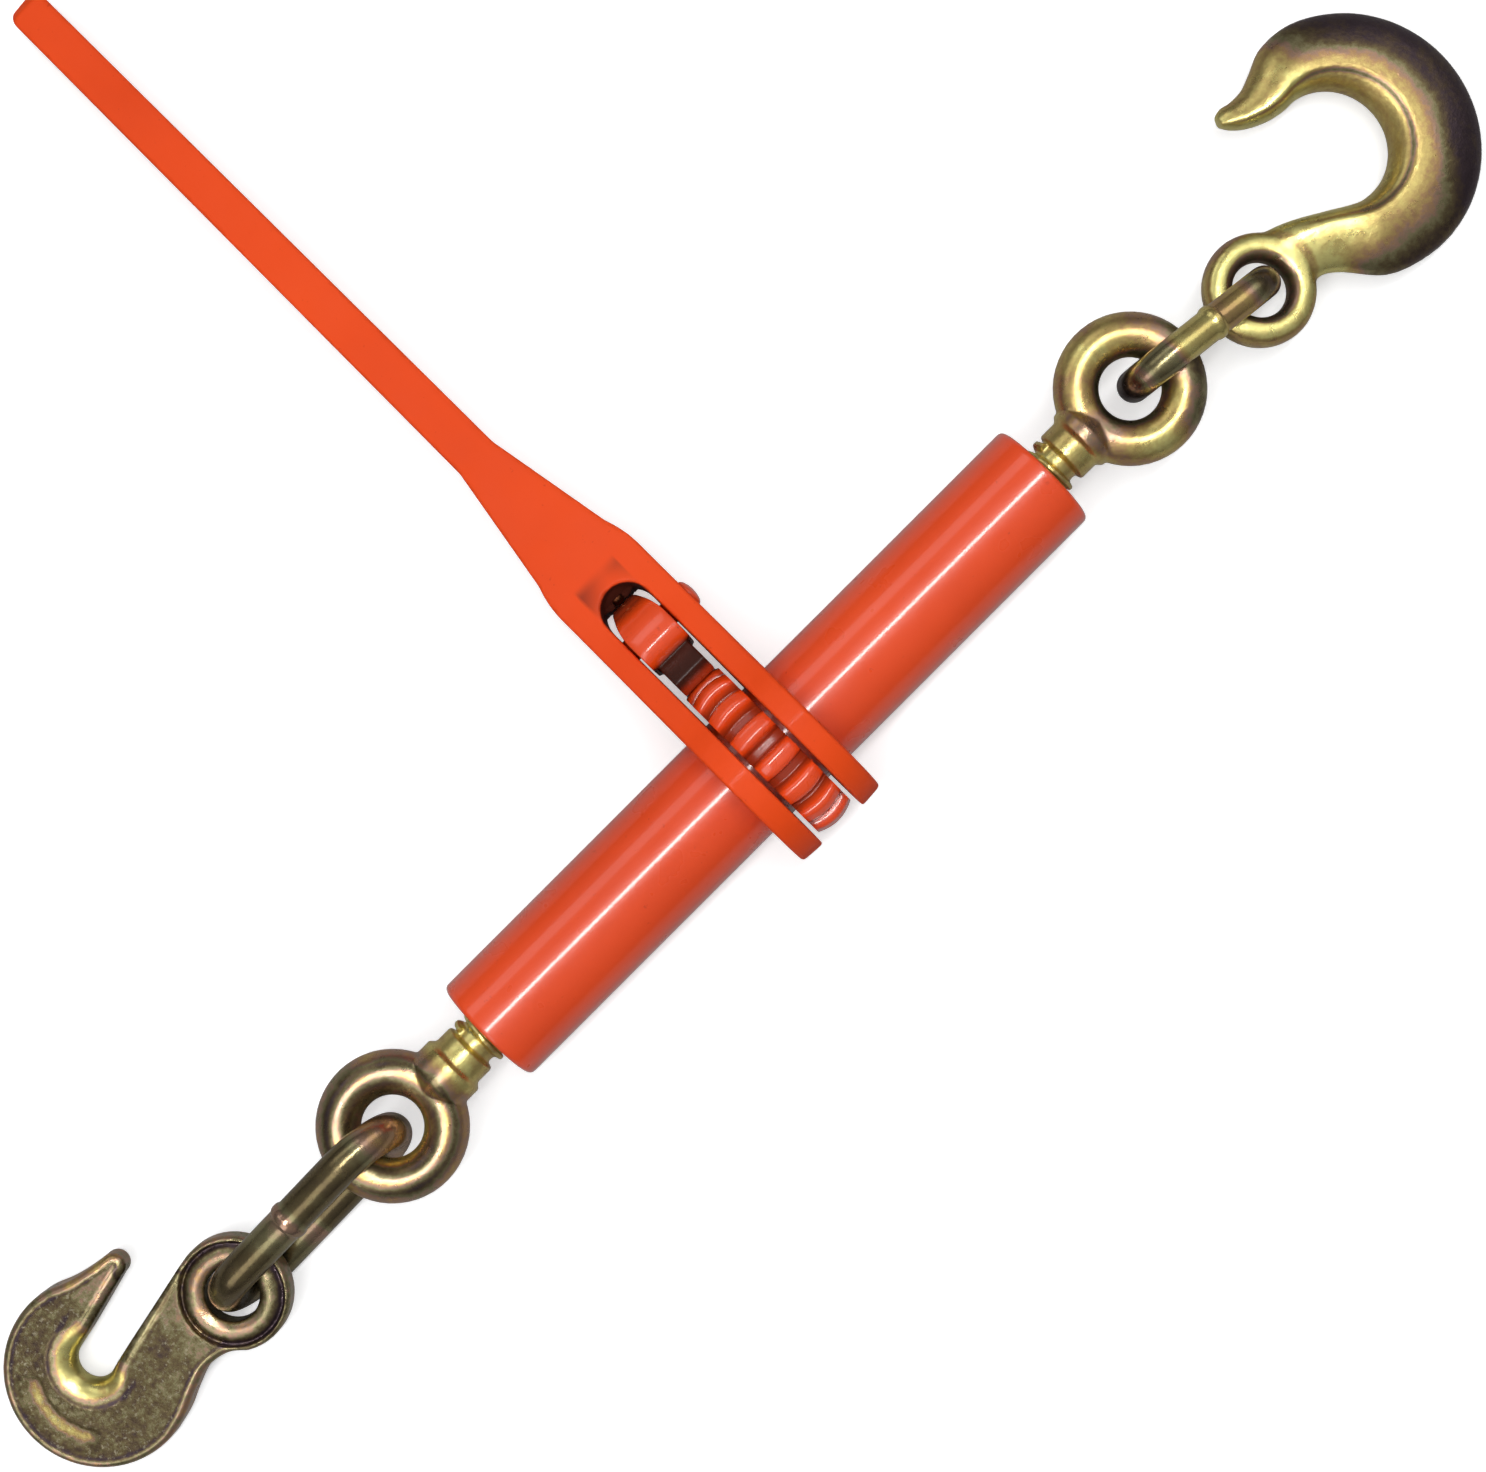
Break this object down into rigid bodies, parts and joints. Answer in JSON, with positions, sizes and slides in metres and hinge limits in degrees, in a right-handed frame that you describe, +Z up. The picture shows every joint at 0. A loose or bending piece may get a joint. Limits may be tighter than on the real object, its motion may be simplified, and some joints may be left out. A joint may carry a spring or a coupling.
{
  "type": "ratchet load binder",
  "caption": "Ratchet chain load binder: orange barrel and lever with a pawl, and plated screws that end in eyes, links, a grab hook and a slip hook.",
  "frame": {"origin": "on the ground, under the middle of the binder's box as it lies with its lever's tip and its hooks on the ground", "axes": "+X along the barrel towards the slip hook, +Y from the barrel along the lever, +Z up"},
  "size_m": [0.6506, 0.3854, 0.0668],
  "materials": {
    "orange_paint": "glossy enamel",
    "yellow_plating": "yellow chromate on zinc",
    "bare_steel": "machined, oiled",
    "spring_steel": "bright drawn"
  },
  "bodies": {
    "barrel": {"barrel_tube": "orange_paint", "ratchet_gear": "orange_paint", "left_barrel_nut": "bare_steel", "right_barrel_nut": "bare_steel"},
    "lever": {"handle": "orange_paint", "pawl_pin": "orange_paint", "detent_spring": "spring_steel"},
    "pawl": {"pawl": "orange_paint"},
    "plunger": {"detent_plunger": "bare_steel"},
    "left_stop": {"left_stop_washer": "bare_steel"},
    "left_screw": {"left_eye_bolt": "yellow_plating", "left_retaining_ring": "spring_steel"},
    "right_stop": {"right_stop_washer": "bare_steel"},
    "right_screw": {"right_eye_bolt": "yellow_plating", "right_retaining_ring": "spring_steel"},
    "left_link": {"left_link": "yellow_plating"},
    "right_link": {"right_link": "yellow_plating"},
    "grab_hook": {"grab_hook": "yellow_plating"},
    "slip_hook": {"slip_hook": "yellow_plating"}
  },
  "joints": [
    {"name": "left_travel", "type": "slide", "parent": "barrel", "child": "left_stop", "axis": [-1, 0, 0], "range_m": [-0.00423, 0.09313]},
    {"name": "left_spin", "type": "hinge", "parent": "left_stop", "child": "left_screw", "pos_m": [-0.0048, -0.15349, 0.03346], "axis": [1, 0, 0], "range_deg": [-360.36, 7927.92]},
    {"name": "right_travel", "type": "slide", "parent": "barrel", "child": "right_stop", "axis": [1, 0, 0], "range_m": [-0.00423, 0.09313]},
    {"name": "right_spin", "type": "hinge", "parent": "right_stop", "child": "right_screw", "pos_m": [0.0138, -0.15349, 0.03346], "axis": [1, 0, 0], "range_deg": [-360.36, 7927.92]},
    {"name": "lever_swing", "type": "hinge", "parent": "barrel", "child": "lever", "pos_m": [0.0057, -0.15349, 0.03346], "axis": [1, 0, 0], "continuous": true},
    {"name": "pawl_rock", "type": "hinge", "parent": "lever", "child": "pawl", "pos_m": [0.0057, -0.09931, 0.02975], "axis": [1, 0, 0], "range_deg": [-12, 12]},
    {"name": "plunger_press", "type": "slide", "parent": "lever", "child": "plunger", "axis": [0, 0.9977, -0.0684], "range_m": [0, 0.0015], "stiffness_N_per_m": 600, "springref_m": -0.003, "deforming": ["detent_spring"]},
    {"name": "left_link_swing", "type": "hinge", "parent": "left_screw", "child": "left_link", "pos_m": [-0.1825, -0.15386, 0.03346], "axis": [0, 1, 0], "range_deg": [-65, 101]},
    {"name": "right_link_swing", "type": "hinge", "parent": "right_screw", "child": "right_link", "pos_m": [0.18818, -0.15548, 0.03346], "axis": [0, 1, 0], "range_deg": [-104, 76]},
    {"name": "grab_hook_swing", "type": "hinge", "parent": "left_link", "child": "grab_hook", "pos_m": [-0.243, -0.15524, 0.01816], "axis": [-0.1374, 0, 0.9905], "range_deg": [-90, 90]},
    {"name": "slip_hook_swing", "type": "hinge", "parent": "right_link", "child": "slip_hook", "pos_m": [0.2247, -0.16059, 0.02316], "axis": [0.1461, 0, 0.9893], "range_deg": [-90, 75]}
  ],
  "couplings": [
    {"joint": "left_spin", "follows": "left_travel", "rad_per_m": 1484.2},
    {"joint": "right_travel", "follows": "left_travel", "ratio": 1},
    {"joint": "right_spin", "follows": "left_travel", "rad_per_m": 1484.2}
  ]
}
